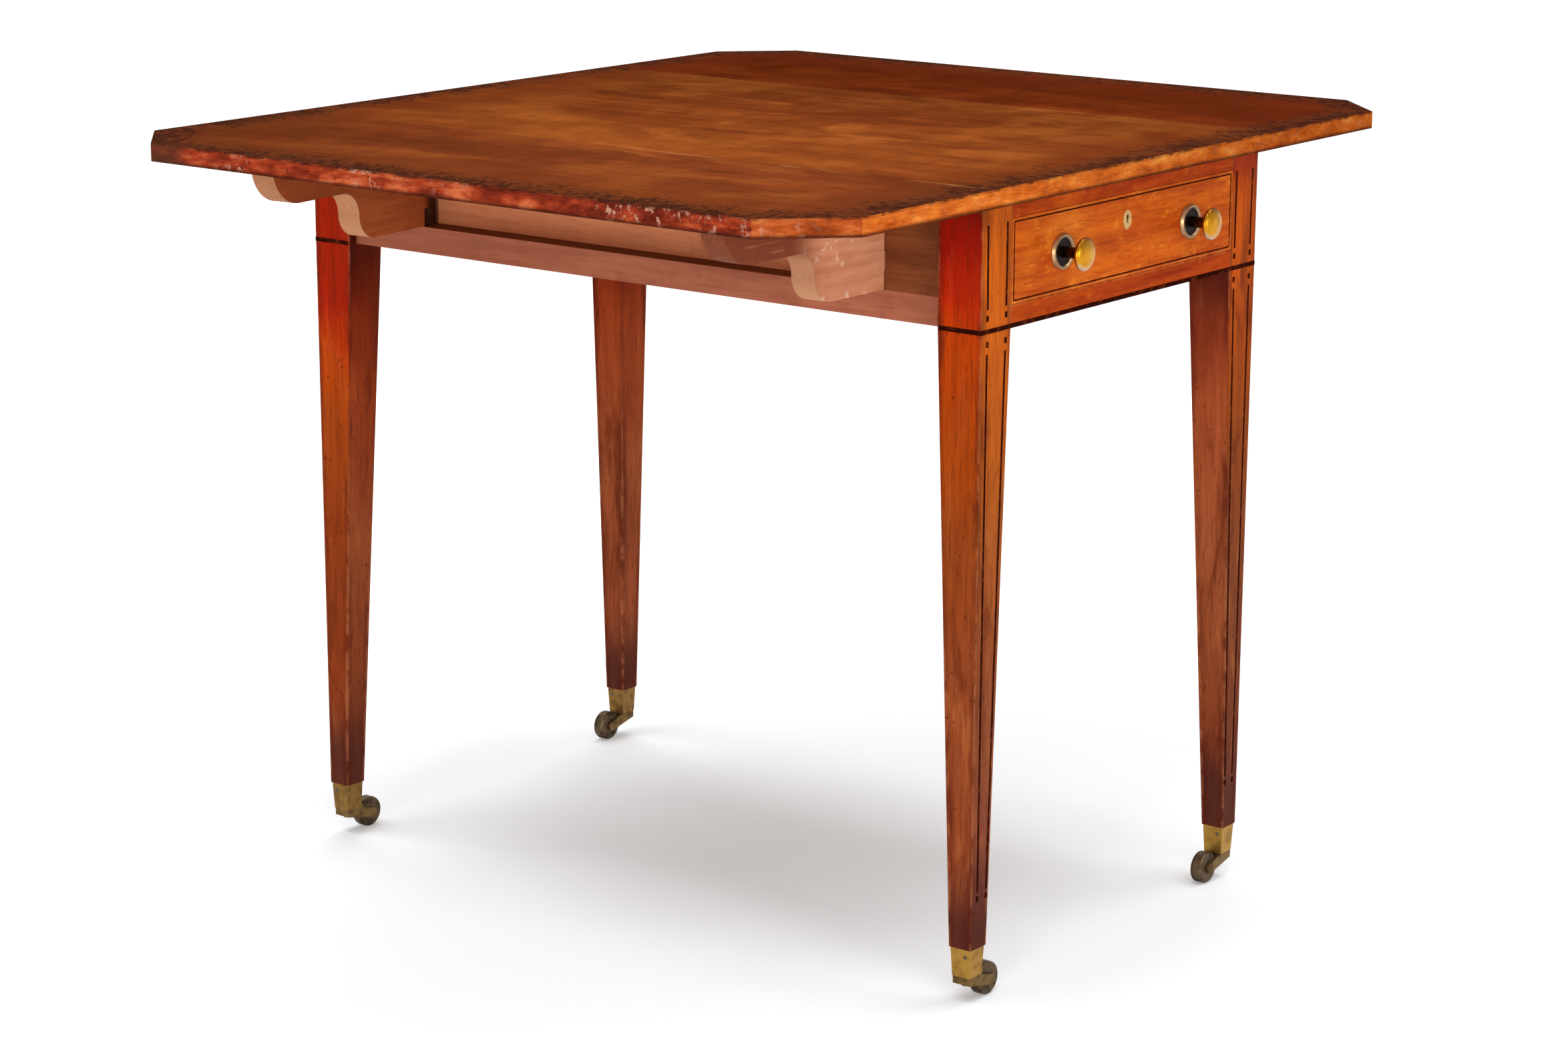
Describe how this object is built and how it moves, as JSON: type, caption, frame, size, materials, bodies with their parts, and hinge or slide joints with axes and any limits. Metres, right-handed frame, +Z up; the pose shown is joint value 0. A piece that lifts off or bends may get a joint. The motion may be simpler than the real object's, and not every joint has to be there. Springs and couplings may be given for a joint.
{
  "type": "pembroke table",
  "caption": "Drop-leaf occasional table with canted corners, a frieze drawer, swinging wooden fly brackets, square tapered legs and swivelling box casters.",
  "frame": {"origin": "on the floor under the middle of the table", "axes": "+X across the table from the left leaf to the right leaf, +Y along the hinge lines away from the drawer end, +Z up"},
  "size_m": [0.946, 0.831, 0.72],
  "materials": {
    "mahogany": "polished red-orange mahogany",
    "mahogany_top": "waxed brown mahogany",
    "beech": "dry stained beech",
    "oak": "bare oak drawer linings",
    "brass": "worn lacquered brass",
    "dark_brass": "tarnished brass",
    "iron": "dark iron"
  },
  "bodies": {
    "frame": {"front_left_leg": "mahogany", "front_right_leg": "mahogany", "back_left_leg": "mahogany", "back_right_leg": "mahogany", "front_left_socket": "brass", "front_right_socket": "brass", "back_left_socket": "brass", "back_right_socket": "brass", "front_left_fly_block": "beech", "front_right_fly_block": "beech", "back_left_fly_block": "beech", "back_right_fly_block": "beech", "caster_pivots": "iron", "left_side_rail": "beech", "right_side_rail": "beech", "left_ledge": "beech", "right_ledge": "beech", "left_fly_pins": "iron", "right_fly_pins": "iron", "left_hinge_board_plates": "iron", "right_hinge_board_plates": "iron", "left_hinge_pins": "iron", "right_hinge_pins": "iron", "top_board": "mahogany_top", "front_top_rail": "mahogany", "front_bottom_rail": "mahogany", "back_rail": "mahogany", "drawer_runners": "oak", "drawer_kickers": "oak", "drawer_stops": "oak", "back_knobs": "brass", "back_knob_plates": "brass"},
    "left_leaf": {"left_leaf": "mahogany_top", "left_hinge_leaf_plates": "iron"},
    "right_leaf": {"right_leaf": "mahogany_top", "right_hinge_leaf_plates": "iron"},
    "front_left_bracket": {"front_left_bracket": "beech"},
    "front_right_bracket": {"front_right_bracket": "beech"},
    "back_left_bracket": {"back_left_bracket": "beech"},
    "back_right_bracket": {"back_right_bracket": "beech"},
    "drawer": {"drawer_front": "mahogany", "drawer_left_side": "oak", "drawer_right_side": "oak", "drawer_back": "oak", "drawer_bottom": "oak", "escutcheon": "brass", "lock_case": "brass", "drawer_knobs": "brass", "drawer_knob_plates": "brass"},
    "lock_bolt": {"lock_bolt": "iron"},
    "front_left_caster": {"front_left_caster_horn": "brass"},
    "front_right_caster": {"front_right_caster_horn": "brass"},
    "back_left_caster": {"back_left_caster_horn": "brass"},
    "back_right_caster": {"back_right_caster_horn": "brass"},
    "front_left_wheel": {"front_left_wheel": "dark_brass"},
    "front_right_wheel": {"front_right_wheel": "dark_brass"},
    "back_left_wheel": {"back_left_wheel": "dark_brass"},
    "back_right_wheel": {"back_right_wheel": "dark_brass"}
  },
  "joints": [
    {"name": "left_leaf_lift", "type": "hinge", "parent": "frame", "child": "left_leaf", "pos_m": [-0.228, 0, 0.7068], "axis": [0, 1, 0], "range_deg": [0, 2]},
    {"name": "right_leaf_drop", "type": "hinge", "parent": "frame", "child": "right_leaf", "pos_m": [0.228, 0, 0.7068], "axis": [0, -1, 0], "range_deg": [-90, 2]},
    {"name": "front_left_bracket_swing", "type": "hinge", "parent": "frame", "child": "front_left_bracket", "pos_m": [-0.2005, -0.267, 0.66], "axis": [0, 0, -1], "range_deg": [0, 90]},
    {"name": "front_right_bracket_swing", "type": "hinge", "parent": "frame", "child": "front_right_bracket", "pos_m": [0.2005, -0.267, 0.66], "axis": [0, 0, -1], "range_deg": [0, 90]},
    {"name": "back_left_bracket_swing", "type": "hinge", "parent": "frame", "child": "back_left_bracket", "pos_m": [-0.2005, 0.267, 0.66], "axis": [0, 0, 1], "range_deg": [-6, 84]},
    {"name": "back_right_bracket_swing", "type": "hinge", "parent": "frame", "child": "back_right_bracket", "pos_m": [0.2005, 0.267, 0.66], "axis": [0, 0, 1], "range_deg": [0, 90]},
    {"name": "drawer_slide", "type": "slide", "parent": "frame", "child": "drawer", "axis": [0, -1, 0], "range_m": [0, 0.42]},
    {"name": "lock_bolt_throw", "type": "slide", "parent": "drawer", "child": "lock_bolt", "axis": [0, 0, 1], "range_m": [0, 0.006]},
    {"name": "front_left_caster_swivel", "type": "hinge", "parent": "frame", "child": "front_left_caster", "pos_m": [-0.2115, -0.3745, 0.02], "axis": [0, 0, 1], "continuous": true},
    {"name": "front_left_wheel_roll", "type": "hinge", "parent": "front_left_caster", "child": "front_left_wheel", "pos_m": [-0.1855, -0.3745, 0.015], "axis": [0, 1, 0], "continuous": true},
    {"name": "front_right_caster_swivel", "type": "hinge", "parent": "frame", "child": "front_right_caster", "pos_m": [0.2115, -0.3745, 0.02], "axis": [0, 0, 1], "continuous": true},
    {"name": "front_right_wheel_roll", "type": "hinge", "parent": "front_right_caster", "child": "front_right_wheel", "pos_m": [0.1855, -0.3745, 0.015], "axis": [0, 1, 0], "continuous": true},
    {"name": "back_left_caster_swivel", "type": "hinge", "parent": "frame", "child": "back_left_caster", "pos_m": [-0.2115, 0.3745, 0.02], "axis": [0, 0, 1], "continuous": true},
    {"name": "back_left_wheel_roll", "type": "hinge", "parent": "back_left_caster", "child": "back_left_wheel", "pos_m": [-0.1855, 0.3745, 0.015], "axis": [0, 1, 0], "continuous": true},
    {"name": "back_right_caster_swivel", "type": "hinge", "parent": "frame", "child": "back_right_caster", "pos_m": [0.2115, 0.3745, 0.02], "axis": [0, 0, 1], "continuous": true},
    {"name": "back_right_wheel_roll", "type": "hinge", "parent": "back_right_caster", "child": "back_right_wheel", "pos_m": [0.1855, 0.3745, 0.015], "axis": [0, 1, 0], "continuous": true}
  ]
}
